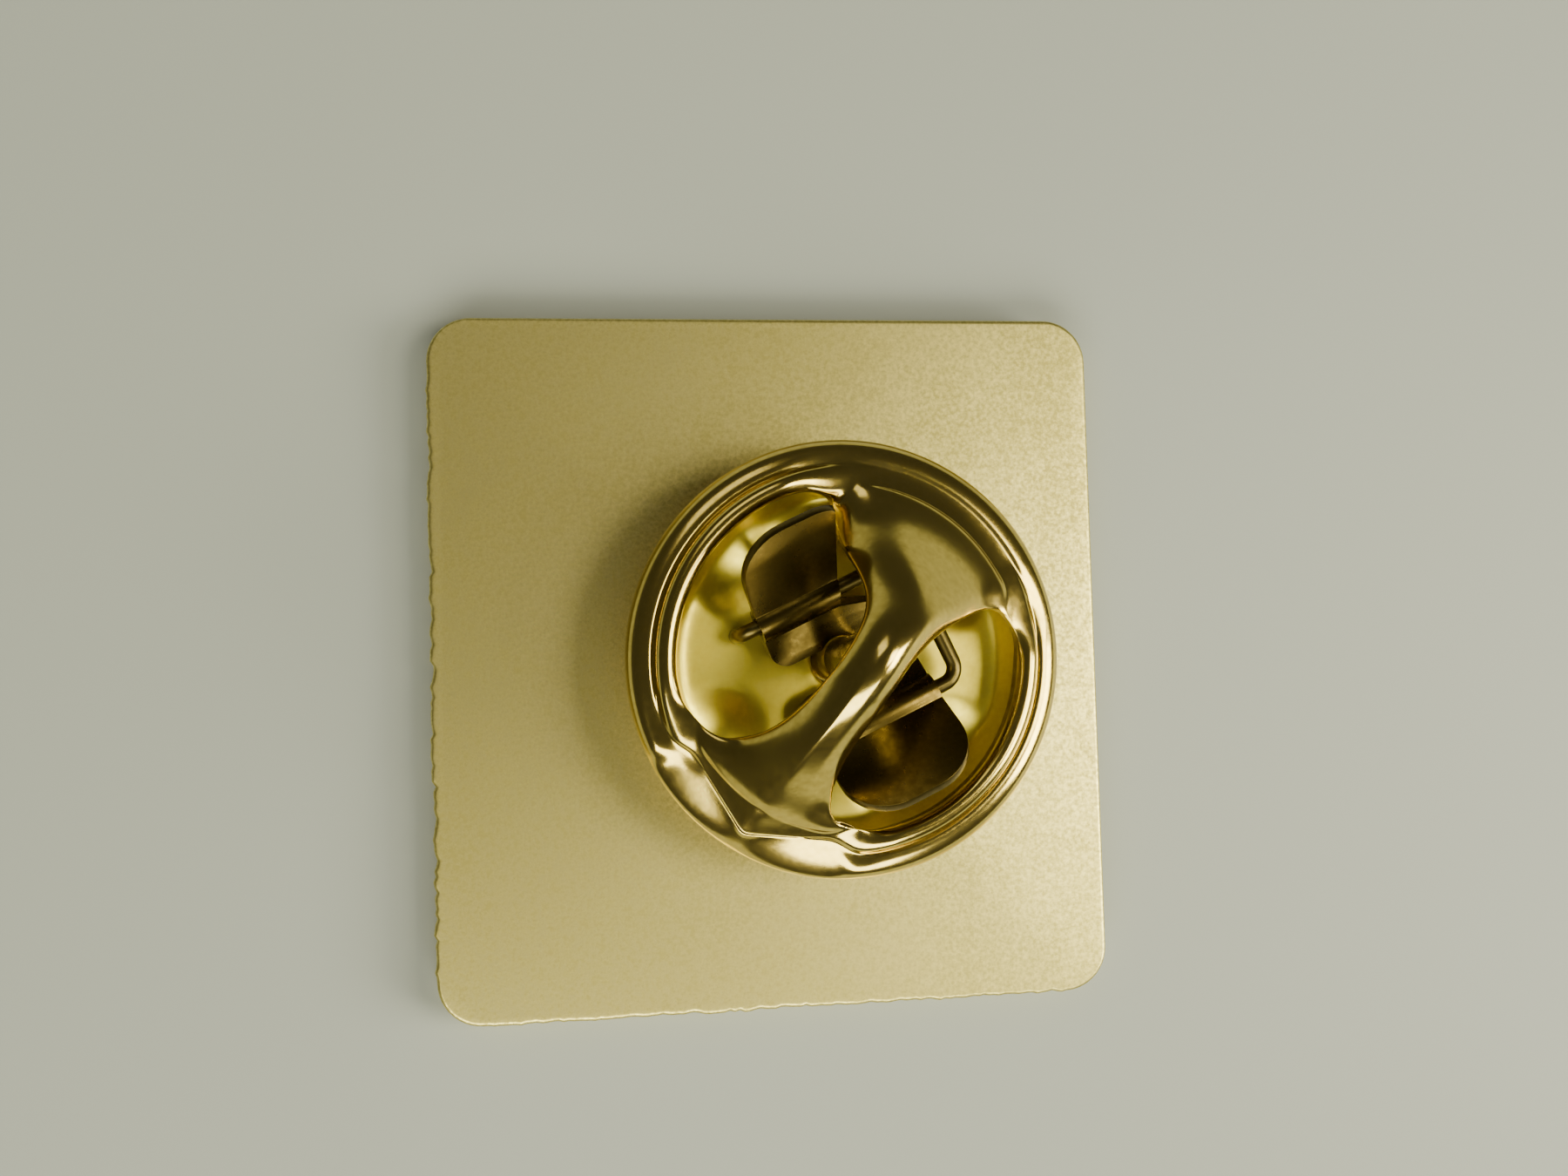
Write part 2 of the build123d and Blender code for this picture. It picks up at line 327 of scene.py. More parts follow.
# %% Soft enamel
def soft_enamel(name, light, deep):
    """A glossy resin with a slow ripple and a faint drift of its colour."""
    material = bpy.data.materials.new(name)
    material.use_nodes = True
    nodes, links = material.node_tree.nodes, material.node_tree.links
    shader = nodes["Principled BSDF"]
    shader.inputs["Coat Weight"].default_value = 0.6
    shader.inputs["Coat Roughness"].default_value = 0.04
    place = nodes.new("ShaderNodeTexCoord").outputs["Object"]
    tones = nodes.new("ShaderNodeGroup")
    tones.node_tree = mottle
    for socket, value in (
        ("Light tone", (*light, 1)),
        ("Deep tone", (*deep, 1)),
        ("Cloud scale", 300.0),
        ("Speck scale", 9000.0),
        ("Smooth", 0.14),
        ("Rough", 0.24),
    ):
        tones.inputs[socket].default_value = value
    links.new(place, tones.inputs["Coordinate"])
    links.new(tones.outputs["Color"], shader.inputs["Base Color"])
    links.new(tones.outputs["Roughness"], shader.inputs["Roughness"])
    ripple = add_noise(nodes, links, place, 700.0, 1.0)
    bumps = nodes.new("ShaderNodeBump")
    bumps.inputs["Strength"].default_value = 0.35
    bumps.inputs["Distance"].default_value = 0.03 * MM
    links.new(ripple, bumps.inputs["Height"])
    links.new(bumps.outputs["Normal"], shader.inputs["Normal"])
    return material


enamels = {
    "enamel_ivory": soft_enamel("enamel_ivory", (0.8, 0.76, 0.62), (0.74, 0.69, 0.54)),
    "enamel_blue": soft_enamel("enamel_blue", (0.03, 0.09, 0.32), (0.02, 0.06, 0.25)),
    "enamel_teal": soft_enamel("enamel_teal", (0.03, 0.33, 0.34), (0.02, 0.27, 0.29)),
}
print("enamels", sorted(enamels))

# %% [markdown]
# ## The struck plate
# A die strikes the plate, and a second die trims its outline. The trim leaves a fine
# saw of burrs along the two edges where the metal tore. The CAD plate has the right
# shape, so its mesh is merged and cut into fine bands along those edges, and the
# corners of the bands are pushed in and out.

# %% Cut the plate into bands and raise the burrs
PLATE_HALF_X = 9.25
PLATE_HALF_Y = 9.5
PLATE_CORNER = 1.2
BURR_PITCH = 0.14
plate = merged_copy("badge_plate")


def cut_across(work, axis, places):
    """Cut the mesh by parallel planes along one axis."""
    for place in places:
        point = Vector((0, 0, 0))
        point[axis] = place
        normal = Vector((0, 0, 0))
        normal[axis] = 1
        geometry = work.verts[:] + work.edges[:] + work.faces[:]
        bmesh.ops.bisect_plane(work, geom=geometry, dist=0.00002, plane_co=point, plane_no=normal)


cut_across(plate, 0, (-PLATE_HALF_X + 0.22,))
cut_across(plate, 1, (-PLATE_HALF_Y + 0.22,))
straight_y = PLATE_HALF_Y - PLATE_CORNER
straight_x = PLATE_HALF_X - PLATE_CORNER
for axis, reach, edge in ((1, straight_y, -PLATE_HALF_X), (0, straight_x, -PLATE_HALF_Y)):
    place = -reach
    while place < reach:
        point = Vector((0, 0, 0))
        point[axis] = place
        normal = Vector((0, 0, 0))
        normal[axis] = 1
        other = 1 - axis
        near = [f for f in plate.faces if f.calc_center_median()[other] < edge + 0.24]
        near_edges = {e for f in near for e in f.edges}
        near_corners = {v for f in near for v in f.verts}
        bmesh.ops.bisect_plane(
            plate, geom=[*near_corners, *near_edges, *near], dist=0.00002, plane_co=point, plane_no=normal
        )
        place += BURR_PITCH
print("plate faces after the cuts", len(plate.faces))


# %% Push the burrs
def burr(along, seed):
    """How far the torn edge stands out at a place along it."""
    torn = noise.noise(Vector((along * 2.9, seed, 0.3)))
    ragged = noise.noise(Vector((along * 7.1, seed, 4.7)))
    slow = 0.5 + 0.5 * noise.noise(Vector((along * 0.35, seed, 9.1)))
    return slow * (0.19 * torn + 0.15 * ragged)


for corner in plate.verts:
    x, y, z = corner.co
    if x < -PLATE_HALF_X + 0.2 and abs(y) < straight_y:
        rise = 0.35 + 0.65 * z / BACK_Z
        corner.co.x += rise * (burr(y, 1.7) - 0.01)
    if y < -PLATE_HALF_Y + 0.2 and abs(x) < straight_x:
        rise = 0.35 + 0.65 * z / BACK_Z
        corner.co.y += rise * 0.6 * (burr(x, 5.3) - 0.01)
plate_piece = make_piece(plate, "struck_plate", "pin", ("badge_plate",), 25)
plate_piece.data.materials.append(satin_gold)

# %% [markdown]
# ## Enamel
# Each cell of enamel starts as its CAD solid. Its free face is inset twice, and the
# outer ring is lifted towards the lines, which is the meniscus that wet enamel leaves.

# %% Enamel cells with a meniscus
ENAMEL_OF = {
    "enamel_corner_lower_left": "enamel_ivory",
    "enamel_corner_lower_right": "enamel_ivory",
    "enamel_corner_upper_left": "enamel_ivory",
    "enamel_corner_upper_right": "enamel_ivory",
    "enamel_field": "enamel_blue",
    "enamel_core": "enamel_teal",
}
for node, slot in ENAMEL_OF.items():
    cell = merged_copy(node)
    free = [f for f in cell.faces if f.normal.z < -0.9]
    rim = {v for f in free for v in f.verts}
    for width in (0.05, 0.08):
        bmesh.ops.inset_region(cell, faces=free, thickness=width, use_even_offset=True)
    free_corners = {v for f in free for v in f.verts}
    for corner in cell.verts:
        if corner.co.z < 0.15:
            if corner in rim:
                corner.co.z -= 0.06
            elif corner not in free_corners:
                corner.co.z -= 0.02
    piece = make_piece(cell, node.replace("enamel", "glossy"), "pin", (node,), 35)
    piece.data.materials.append(enamels[slot])

# %% [markdown]
# ## The needle and its solder
# The needle is drawn wire with a flat head soldered to the plate, a rounded groove for
# the clutch's jaws and a ground point. It is a spun profile, like the real turned post.

# %% Needle
NEEDLE_PROFILE = (
    (0.0, 0.0), (1.06, 0.0), (1.1, 0.04), (1.1, 0.26), (1.06, 0.3), (0.64, 0.3), (0.585, 0.36),
    (0.575, 0.45), (0.575, 1.94), (0.535, 2.06), (0.475, 2.15), (0.447, 2.25), (0.475, 2.35),
    (0.535, 2.44), (0.575, 2.56), (0.575, 4.8), (0.56, 4.95), (0.5, 5.15), (0.2, 6.05),
    (0.11, 6.2), (0.05, 6.24), (0.0, 6.25),
)
needle_piece = make_piece(
    spun(NEEDLE_PROFILE, 64, base_z=BACK_Z), "turned_needle", "pin", ("needle",), 35
)
needle_piece.data.materials.append(needle_gold)

# %% Solder fillet
SOLDER_PROFILE = (
    (1.1, 0.0), (1.55, 0.0), (1.5, 0.02), (1.4, 0.05), (1.28, 0.1), (1.18, 0.18), (1.11, 0.28), (1.1, 0.2),
)
solder = spun((*SOLDER_PROFILE, SOLDER_PROFILE[0]), 64, base_z=BACK_Z)
for corner in solder.verts:
    offset = corner.co - Vector((CLUTCH_X, CLUTCH_Y, BACK_Z))
    reach = offset.to_2d().length
    if reach > 1.15:
        push = 1 + 0.05 * (reach - 1.1) / 0.45 * noise.noise(offset * 1.3)
        corner.co.x = CLUTCH_X + offset.x * push
        corner.co.y = CLUTCH_Y + offset.y * push
solder_piece = make_piece(solder, "solder_fillet", "pin", ("solder_joint",), 50)
solder_piece.data.materials.append(solder_gold)

# %% [markdown]
# ## The clutch's floor
# The base is a shallow dish pressed from sheet. Six nubs are pushed down through its
# floor to bite the cloth, and from above they are dimples. The upper face is spun, the
# dimples are pushed in, and a Solidify modifier gives the sheet its thickness.

# %% Clutch floor with its dimples
NUB_ANGLES = (28, 112, 143, 208, 292, 323)
NUB_RING = 3.6
NUB_DEPTH = 0.33
NUB_SPREAD = 1.2
FLOOR_PROFILE = [(0.76, 0.16), (0.79, 0.25), (0.86, 0.3)]
FLOOR_PROFILE += [(1.05 + 0.165 * step, 0.3) for step in range(19)]
FLOOR_PROFILE += [(4.16, 0.31), (4.27, 0.35), (4.35, 0.43), (4.42, 0.55), (4.56, 0.8), (4.66, 0.98)]
FLOOR_PROFILE += [(4.73, 1.09), (4.82, 1.14), (4.95, 1.15), (5.2, 1.15), (5.4, 1.15)]
dish = spun(FLOOR_PROFILE, 144)
for corner in dish.verts:
    offset = corner.co - Vector((CLUTCH_X, CLUTCH_Y, CLUTCH_Z))
    for angle in NUB_ANGLES:
        centre = Vector((NUB_RING * cos(radians(angle)), NUB_RING * sin(radians(angle))))
        away = (offset.to_2d() - centre).length / NUB_SPREAD
        if away < 1 and offset.z < 0.4:
            corner.co.z -= NUB_DEPTH * (1 - away**2) ** 2
dish_piece = make_piece(dish, "clutch_floor", "clutch", ("clutch_base",), 60)
thicken(dish_piece, SHEET, 1)
dish_piece.data.materials.append(floor_gold)

# %% [markdown]
# ## The clutch's cap
# The cap is one pressed sheet: a rim rolled over the base's flange, a groove, a round
# bead that borders two openings, and between them an arched strap that passes over the
# needle's point. The ring is spun in four runs, one for each opening and one for each
# end of the strap, so that the strap's columns meet the ring's corners.

# %% Ring sectors and profile
STRAP_ANGLE = 50.7
UPPER_FROM, UPPER_TO = 14.0, 94.5
LOWER_FROM, LOWER_TO = 201.0, 267.0
STRAP_COLUMNS = 32
SECTORS = (
    (UPPER_FROM, UPPER_TO, STRAP_COLUMNS),
    (UPPER_TO, LOWER_FROM, 46),
    (LOWER_FROM, LOWER_TO, STRAP_COLUMNS),
    (LOWER_TO, UPPER_FROM + 360, 46),
)
SHOULDER_FOOT = 1.0
SHOULDER_TOP = 1.56
SHOULDER_INNER = 5.16
RING_RADIUS = 5.75
BEAD_MIDDLE = 4.74
BEAD_HALF = 0.27
BEAD_TOP = 1.9
BEAD_FOOT = 1.62
rolled = [(5.17, 0.53), (5.35, 0.52), (5.55, 0.53), (5.67, 0.57), (5.73, 0.66), (5.75, 0.8)]
shoulder = [
    (
        SHOULDER_INNER + (RING_RADIUS - SHOULDER_INNER) * cos(radians(turn)),
        SHOULDER_FOOT + (SHOULDER_TOP - SHOULDER_FOOT) * sin(radians(turn)),
    )
    for turn in range(0, 91, 15)
]
groove = [(5.11, 1.53), (5.07, 1.5), (5.035, 1.53)]
bead = [
    (BEAD_MIDDLE + BEAD_HALF * cos(radians(turn)), BEAD_FOOT + (BEAD_TOP - BEAD_FOOT) * sin(radians(turn)))
    for turn in range(0, 181, 20)
]
ring_profile = rolled + shoulder + groove + bead
GROOVE_ROW = len(rolled) + len(shoulder) + 1
LAST_ROW = len(ring_profile) - 1
print("ring rows", len(ring_profile))

# %% Spin the ring in four runs
ring = bmesh.new()
for start, stop, steps in SECTORS:
    run = spun(ring_profile, steps, start, stop - start, 0.0)
    bmesh.ops.translate(run, vec=(-CLUTCH_X, -CLUTCH_Y, 0), verts=run.verts)
    mesh = bpy.data.meshes.new("run")
    run.to_mesh(mesh)
    run.free()
    ring.from_mesh(mesh)
    bpy.data.meshes.remove(mesh)
bmesh.ops.remove_doubles(ring, verts=ring.verts, dist=0.001)
ring_rows = ring.verts.layers.float["row"]
print("ring faces", len(ring.faces))


# %% [markdown]
# In front of the strap's ends the bead fades out, and the pressed dome rises straight
# from the groove. Under the strap's lower end the groove is two straight creases that
# meet at a corner. Both are done by moving the ring's rows, as a function of the angle.


# %% Shape the ring where the strap meets it
def smoothstep(value):
    """Ease from 0 to 1."""
    value = min(1.0, max(0.0, value))
    return value * value * (3 - 2 * value)


def angle_of(point):
    """Angle about the needle, in degrees from 0 to 360."""
    return degrees(atan2(point.y, point.x)) % 360


def bead_share(angle):
    """1 beside an opening, 0 in front of a strap end, with a short run-out between."""
    share = 1.0
    for start, stop, run_out in ((UPPER_FROM, UPPER_TO, 15.0), (LOWER_FROM, LOWER_TO, 6.0)):
        if start <= angle <= stop:
            share = 1 - smoothstep(min(angle - start, stop - angle) / run_out)
    return share


CREASE = ((4.72, 205.5), (5.27, 236.5), (4.66, 264.5))
CREASE_CORNER = 236.5
CREASE_HEIGHT = 1.63


def crease_radius(angle):
    """Distance of the groove from the needle: round, but straight in two lower runs."""
    for (r_a, a_a), (r_b, a_b) in zip(CREASE, CREASE[1:]):
        if a_a <= angle <= a_b:
            first = Vector((r_a * cos(radians(a_a)), r_a * sin(radians(a_a))))
            second = Vector((r_b * cos(radians(a_b)), r_b * sin(radians(a_b))))
            ray = Vector((cos(radians(angle)), sin(radians(angle))))
            across = second - first
            return first.cross(across) / ray.cross(across)
    return ring_profile[GROOVE_ROW][0]


FLAT_INNER = BEAD_MIDDLE - BEAD_HALF
CORNER_ROUND = 0.36
CORNER_SPREAD = 9.0


def corner_pull(angle):
    """How far an opening's rounded corner reaches in from the ring."""
    ends = (UPPER_FROM, UPPER_TO, LOWER_FROM, LOWER_TO)
    gap = min(abs((angle - end + 180) % 360 - 180) for end in ends)
    return CORNER_ROUND * max(0.0, 1 - gap / CORNER_SPREAD) ** 2


STRAP_TOP = 5.2
FACET_HALF = 28.0
FACET_FADE = 5.5
UPPER_GROOVE_LIFT = 0.045


def groove_place(angle):
    """Radius and height of the groove, and how far it is a crease there."""
    nominal, height = ring_profile[GROOVE_ROW]
    if angle < UPPER_TO or angle > LOWER_TO + 60:
        height += UPPER_GROOVE_LIFT * (1 - bead_share(angle))
    facet = 1 - smoothstep((abs(angle - CREASE_CORNER) - FACET_HALF) / FACET_FADE)
    inside = min(max(angle, CREASE[0][1]), CREASE[2][1])
    radius = nominal + (crease_radius(inside) - nominal) * facet
    return radius, height + (CREASE_HEIGHT - height) * facet, facet


def dome(place):
    """Height of the pressed dome: it starts at the groove, and is steeper on the lower side."""
    foot_radius, foot_height, _ = groove_place(angle_of(place))
    run = min(1.0, max(0.0, 1 - place.to_2d().length / foot_radius))
    toward = place.x * cos(radians(STRAP_ANGLE)) + place.y * sin(radians(STRAP_ANGLE))
    fullness = 0.82 - 0.24 * smoothstep(0.5 - toward / 2)
    return foot_height + (STRAP_TOP - foot_height) * (0.5 - 0.5 * cos(pi * run)) ** fullness


def shape_ring(work):
    """Move the rows of the ring for the strap's ends and the creases."""
    nominal = ring_profile[GROOVE_ROW][0]
    for corner in work.verts:
        row = int(round(corner[ring_rows]))
        angle = angle_of(corner.co)
        radius, height = ring_profile[row]
        share = bead_share(angle)
        groove_at, groove_height, facet = groove_place(angle)
        if GROOVE_ROW - 1 <= row <= GROOVE_ROW + 1:
            height += (groove_height - height) * max(facet, 1 - share)
        if row > GROOVE_ROW + 1:
            inward = (nominal - radius) / (nominal - FLAT_INNER)
            reach = groove_at + (radius - nominal) * (groove_at - FLAT_INNER) / (nominal - FLAT_INNER)
            risen = dome(Vector((reach * cos(radians(angle)), reach * sin(radians(angle)))))
            height = risen + (height - risen) * share
            radius -= corner_pull(angle) * inward
        if row < GROOVE_ROW - 1 and radius < RING_RADIUS and height > SHOULDER_FOOT:
            pull = (RING_RADIUS - radius) / (RING_RADIUS - nominal)
            radius = RING_RADIUS - (RING_RADIUS - groove_at) * pull
            slope = SHOULDER_FOOT + (CREASE_HEIGHT - SHOULDER_FOOT) * pull**0.7
            height += (slope - height) * facet
        elif row >= GROOVE_ROW - 1:
            radius = groove_at + (radius - nominal) * (groove_at - FLAT_INNER) / (nominal - FLAT_INNER)
        corner.co = Vector((radius * cos(radians(angle)), radius * sin(radians(angle)), height))


shape_ring(ring)
print("groove at the corner", round(crease_radius(CREASE_CORNER), 3))

# %% Bridge the two strap ends
across = ring.verts.layers.float.new("across")
along = ring.verts.layers.float.new("along")
NOT_ON_STRAP = -1.0
for corner in ring.verts:
    corner[along] = NOT_ON_STRAP
end_edges = []
for (start, stop), place in (((UPPER_FROM, UPPER_TO), 0.0), ((LOWER_FROM, LOWER_TO), 1.0)):
    chain = [
        v
        for v in ring.verts
        if round(v[ring_rows]) == LAST_ROW and start - 0.1 <= angle_of(v.co) <= stop + 0.1
    ]
    for corner in chain:
        share = 2 * (angle_of(corner.co) - start) / (stop - start) - 1
        corner[across] = share if place == 0.0 else -share
        corner[along] = place
    chosen = set(chain)
    end_edges += [e for e in ring.edges if set(e.verts) <= chosen]
bridged = bmesh.ops.bridge_loops(ring, edges=end_edges)
bridge_edges = {e for f in bridged["faces"] for e in f.edges}
strap_edges = [e for e in bridge_edges if abs(e.verts[0][along] - e.verts[1][along]) > 0.5]
STRAP_ROWS = 40
bmesh.ops.subdivide_edges(ring, edges=strap_edges, cuts=STRAP_ROWS - 1, use_grid_fill=True)
strap_corners = [v for v in ring.verts if 0.0 < v[along] < 1.0]
print("strap corners", len(strap_corners))

# %% [markdown]
# The strap's columns are now straight lines from end to end. The cap was pressed as a
# dome and its openings were pierced, so the strap's height is the dome's. Its two
# edges follow smooth curves through a few places, and each edge rolls over: a wide
# soft roll on one side, a narrow one on the other, so the crest lies off the middle.

# %% Edges and height of the strap
RIGHT_EDGE = ((3.3, -2.35), (2.99, -1.9), (2.4, -1.5), (1.77, -1.2), (1.09, -0.97), (0.5, -0.88),
              (-0.1, -0.88), (-0.94, -0.94), (-1.6, -1.04), (-2.4, -1.25), (-3.0, -1.52), (-3.5, -2.05))
LEFT_EDGE = ((2.77, 2.62), (2.42, 2.3), (2.03, 1.9), (1.7, 1.4), (1.35, 1.02), (0.88, 0.78),
             (0.07, 0.62), (-0.85, 0.55), (-1.8, 0.54), (-2.54, 0.64), (-3.1, 0.88), (-3.6, 1.4))


def smooth_curve(points):
    """Places along a smooth curve through some points, as a function of its share."""
    reach = [0.0]
    for first, second in zip(points, points[1:]):
        reach.append(reach[-1] + (second - first).length)
    total = reach[-1]

    def place_at(share):
        distance = share * total
        number = 0
        while number < len(points) - 2 and distance > reach[number + 1]:
            number += 1
        before, after = max(0, number - 1), min(len(points) - 1, number + 2)
        span = reach[number + 1] - reach[number]
        t = (distance - reach[number]) / span
        first, second = points[number], points[number + 1]
        slope_a = (second - points[before]) * (span / (reach[number + 1] - reach[before]))
        slope_b = (points[after] - first) * (span / (reach[after] - reach[number]))
        return (
            (2 * t**3 - 3 * t**2 + 1) * first
            + (t**3 - 2 * t**2 + t) * slope_a
            + (3 * t**2 - 2 * t**3) * second
            + (t**3 - t**2) * slope_b
        )

    return place_at


def edge_drop(spot, left_gap, right_gap):
    """How far the rolled edges lie below the dome."""
    upper = smoothstep((spot.x - 0.5) / 1.5)
    lower = smoothstep((-spot.x - 2.2) / 1.2)
    left_width, left_depth = 0.9 + 0.5 * upper, 0.6 + 0.35 * upper - 0.2 * lower
    right_width, right_depth = 0.6, 0.5 - 0.35 * smoothstep((spot.x - 1.5) / 1.2) - 0.4 * lower
    drop = left_depth * max(0.0, 1 - left_gap / left_width) ** 2
    drop += right_depth * max(0.0, 1 - right_gap / right_width) ** 2
    return drop * smoothstep((FLAT_INNER - spot.length) / 0.9)


# %% Shape the strap
unturned = Matrix.Rotation(radians(-STRAP_ANGLE), 2)
strap_turn = Matrix.Rotation(radians(STRAP_ANGLE), 2)
ends = {0.0: {}, 1.0: {}}
end_lift = {0.0: {}, 1.0: {}}
for corner in ring.verts:
    if corner[along] in ends:
        plan = unturned @ corner.co.to_2d()
        ends[corner[along]][round(corner[across] * STRAP_COLUMNS / 2)] = plan
        end_lift[corner[along]][round(corner[across] * STRAP_COLUMNS / 2)] = corner.co.z - dome(corner.co)
half_columns = STRAP_COLUMNS // 2
upper_end, lower_end = ends[0.0], ends[1.0]
right_edge = smooth_curve([upper_end[-half_columns], *map(Vector, RIGHT_EDGE), lower_end[-half_columns]])
left_edge = smooth_curve([upper_end[half_columns], *map(Vector, LEFT_EDGE), lower_end[half_columns]])
for corner in strap_corners:
    place, side = corner[along], corner[across]
    share = (side + 1) / 2
    column = round(side * half_columns)
    right_side, left_side = right_edge(place), left_edge(place)
    spot = right_side.lerp(left_side, share)
    upper_chord = upper_end[-half_columns].lerp(upper_end[half_columns], share)
    lower_chord = lower_end[-half_columns].lerp(lower_end[half_columns], share)
    spot += (upper_end[column] - upper_chord) * (1 - place) ** 4
    spot += (lower_end[column] - lower_chord) * place**4
    width = (left_side - right_side).length
    plan = strap_turn @ spot
    height = dome(plan) - edge_drop(spot, width * (1 - share), width * share)
    height += end_lift[0.0][column] * (1 - place) ** 12 + end_lift[1.0][column] * place**12
    corner.co = Vector((plan.x, plan.y, height))
print("strap shaped, waist", round((right_edge(0.5) - left_edge(0.5)).length, 2), "mm wide")


# %% [markdown]
# Where the strap, the bead and an opening meet, the real sheet has stretched into a
# soft hollow. A few rounds of relaxing, strongest at the meeting place and fading with
# distance, give that. Most rounds move heights only, so that the outline stays.


# %% Ease the corners of the openings and the strap's ends
def ease(work, share_of, steps, flat=False):
    """Relax corners towards their neighbours, by a share that depends on the place."""
    moving = [(v, share_of(v.co)) for v in work.verts if v.co.z > 1.5]
    moving = [(v, share) for v, share in moving if share > 0.01]
    for step in range(steps):
        means = [
            sum((e.other_vert(v).co for e in v.link_edges), Vector()) / len(v.link_edges)
            for v, share in moving
        ]
        for (v, share), mean in zip(moving, means):
            if flat:
                v.co.z += (mean.z - v.co.z) * share
            else:
                v.co = v.co.lerp(mean, share)


CORNER_REACH = 1.3
STRAP_END_AT = 4.1
STRAP_END_REACH = 0.6
EASE_SHARE = 0.6


def near_corner(place):
    """Share of easing about the four corners of the openings."""
    gap = min(
        (place.to_2d() - FLAT_INNER * Vector((cos(radians(angle)), sin(radians(angle))))).length
        for angle in (UPPER_FROM, UPPER_TO, LOWER_FROM, LOWER_TO)
    )
    return EASE_SHARE * smoothstep(1 - gap / CORNER_REACH)


def near_strap_end(place):
    """Share of easing across the line where the strap leaves the ring."""
    angle = angle_of(place)
    if not (UPPER_FROM < angle < UPPER_TO or LOWER_FROM < angle < LOWER_TO):
        return 0.0
    return EASE_SHARE * smoothstep(1 - abs(place.to_2d().length - STRAP_END_AT) / STRAP_END_REACH)


ease(ring, near_strap_end, 12, flat=True)
ease(ring, near_corner, 60, flat=True)
ease(ring, near_corner, 6)
print("corners eased")

# %% [markdown]
# The edge of each opening is turned down, as a skirt that hides the cut. The open
# edges of the two openings are extruded, and the new edge is lowered. The plating is
# thinner inside, but the second, much darker finish on the skirt and inner wall is mostly painted shade
# for the recess under the cap.

# %% Turn the openings' edges down
OPENING_REACH = 4.9
hole_edges = [
    e
    for e in ring.edges
    if e.is_boundary and all(v.co.to_2d().length < OPENING_REACH and v.co.z > 1.2 for v in e.verts)
]
print("opening edges", len(hole_edges))
for fall in (0.2, 0.35):
    pulled = bmesh.ops.extrude_edge_only(ring, edges=hole_edges)["geom"]
    hole_edges = [g for g in pulled if isinstance(g, bmesh.types.BMEdge)]
    fresh = {v for e in hole_edges for v in e.verts}
    for corner in fresh:
        corner.co.z -= fall * (1 - 0.5 * smoothstep((corner.co.z - 1.7) / 1.5))
    for face in {f for v in fresh for f in v.link_faces}:
        face.material_index = 1
bmesh.ops.translate(ring, vec=(CLUTCH_X, CLUTCH_Y, CLUTCH_Z), verts=ring.verts)
cap_piece = make_piece(ring, "pressed_cap", "clutch", ("clutch_cap",), 75)
thicken(cap_piece, SHEET, 1, inner_slot=1)
cap_piece.data.materials.append(bright_gold)
# The second slot is the darker finish, painted shade inside the cap.
cap_piece.data.materials.append(inner_gold_painted_shade)

# %% [markdown]
# ## The wings and their wire
# Each wing is a tab of spring brass that a finger pushes, with a jaw at its other end.
# Its CAD solid has the right shape, so its edges only need the small round that
# tumbling gives. The left wing's side is drawn in along its hinge, so that it tapers
# clear of the strap's edge. The wire is the hinge of both wings and their spring.

# %% Wings and wire
WING_ANGLE = 24.7
WING_HINGE = Vector((cos(radians(WING_ANGLE)), sin(radians(WING_ANGLE)), 0))
STRAP_SIDE = Vector((0.986, 0.165))
STRAP_CLEAR = 0.08
WING_ROOT = 1.9
for node, name in (("wing_left", "wing_tab_left"), ("wing_right", "wing_tab_right")):
    wing = merged_copy(node)
    for corner in wing.verts:
        spot = corner.co - Vector((CLUTCH_X, CLUTCH_Y, 0))
        beyond = STRAP_SIDE.dot(spot.to_2d()) - STRAP_CLEAR
        if node == "wing_left" and spot.y > WING_ROOT and beyond > 0:
            corner.co -= WING_HINGE * beyond / STRAP_SIDE.dot(WING_HINGE.to_2d())
    sharp = [e for e in wing.edges if e.is_manifold and e.calc_face_angle(0) > radians(40)]
    bmesh.ops.bevel(
        wing, geom=sharp, offset=0.05, offset_type="OFFSET", affect="EDGES", segments=2, profile=0.5,
        material=-1, clamp_overlap=True,
    )
    piece = make_piece(wing, name, node, (node,), 35)
    # The wing's finish is painted dark, as shade inside the cap.
    piece.data.materials.append(wing_gold_painted_shade)
wire = merged_copy("spring_wire")
wire_piece = make_piece(wire, "bent_wire", "clutch", ("spring_wire",), 50)
wire_piece.data.materials.append(wire_gold_painted_shade)

# %% [markdown]
# ## Studio
# A plain pale floor and four soft lights: a large one on the near side, one low on the
# right, a small high one that casts the clutch's shadow, and a dim one on the far side.
# Polished metal shows what is round it, so the floor ends near and the rest is dark.

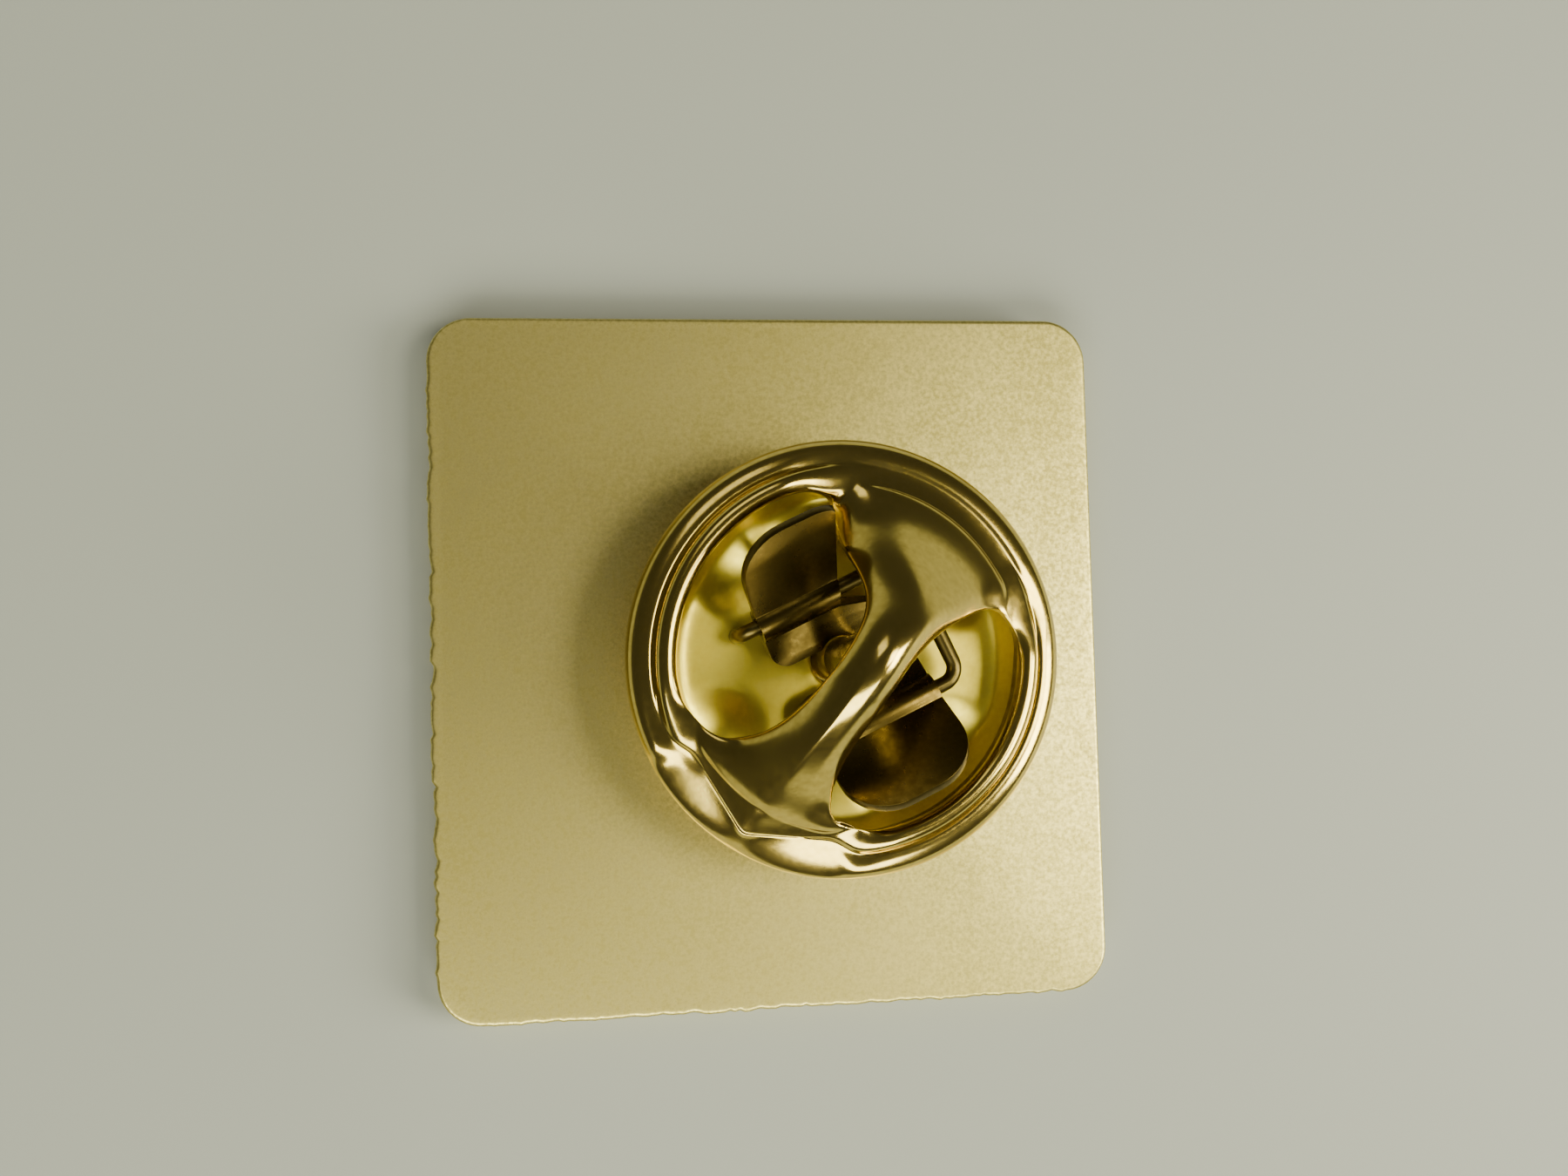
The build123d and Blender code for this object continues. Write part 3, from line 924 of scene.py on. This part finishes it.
# %% Floor
bpy.ops.mesh.primitive_grid_add(x_subdivisions=1, y_subdivisions=1, size=0.13, location=(0, 0, -0.00001))
floor = bpy.context.active_object
floor.name = "table"
floor_material = bpy.data.materials.new("pale_table")
floor_material.use_nodes = True
floor_shader = floor_material.node_tree.nodes["Principled BSDF"]
floor_shader.inputs["Base Color"].default_value = (0.29, 0.315, 0.275, 1)
floor_shader.inputs["Roughness"].default_value = 0.6
floor.data.materials.append(floor_material)


# %% Lights
def softbox(name, place, aim, width, height, power, tint=(1, 1, 1)):
    """A large soft lamp at a place in millimetres, aimed at another."""
    lamp = bpy.data.lights.new(name, "AREA")
    lamp.shape = "RECTANGLE"
    lamp.size, lamp.size_y = width * MM, height * MM
    lamp.energy = power
    lamp.color = tint
    lit = bpy.data.objects.new(name, lamp)
    lit.location = Vector(place) * MM
    lit.rotation_euler = (Vector(aim) * MM - lit.location).to_track_quat("-Z", "Y").to_euler()
    bpy.context.scene.collection.objects.link(lit)
    return lit


softbox("near_light", (-30, -175, 160), (0, 0, 0), 260, 130, 0.95, (1.0, 0.96, 0.79))
softbox("high_light", (105, 0, 165), (0, 0, 0), 70, 70, 0.2, (1.0, 0.92, 0.7))
softbox("right_light", (175, -40, 110), (0, 0, 0), 110, 100, 0.6, (1.0, 0.95, 0.78))
softbox("far_light", (-60, 140, 170), (0, 0, 0), 90, 90, 0.04, (1.0, 0.93, 0.75))
world = bpy.data.worlds.new("studio")
world.use_nodes = True
world.node_tree.nodes["Background"].inputs["Color"].default_value = (1.0, 0.96, 0.86, 1)
world.node_tree.nodes["Background"].inputs["Strength"].default_value = 0.06
bpy.context.scene.world = world

# %% Camera
CAMERA_AT = Vector((-6.60, -0.07, 45.07)) * MM
LOOKS_AT = Vector((0.33, 1.99, 1.2)) * MM
LEAN = radians(1.63)
back = (CAMERA_AT - LOOKS_AT).normalized()
right = Vector((sin(LEAN), cos(LEAN), 0)).cross(back).normalized()
up = back.cross(right)
lens = bpy.data.cameras.new("bench_camera")
lens.lens = 36.92
lens.sensor_width = 36
lens.clip_start = 0.001
camera = bpy.data.objects.new("bench_camera", lens)
turn = Matrix((right, up, back)).transposed()
camera.matrix_world = Matrix.Translation(CAMERA_AT) @ turn.to_4x4()
bpy.context.scene.collection.objects.link(camera)
bpy.context.scene.camera = camera
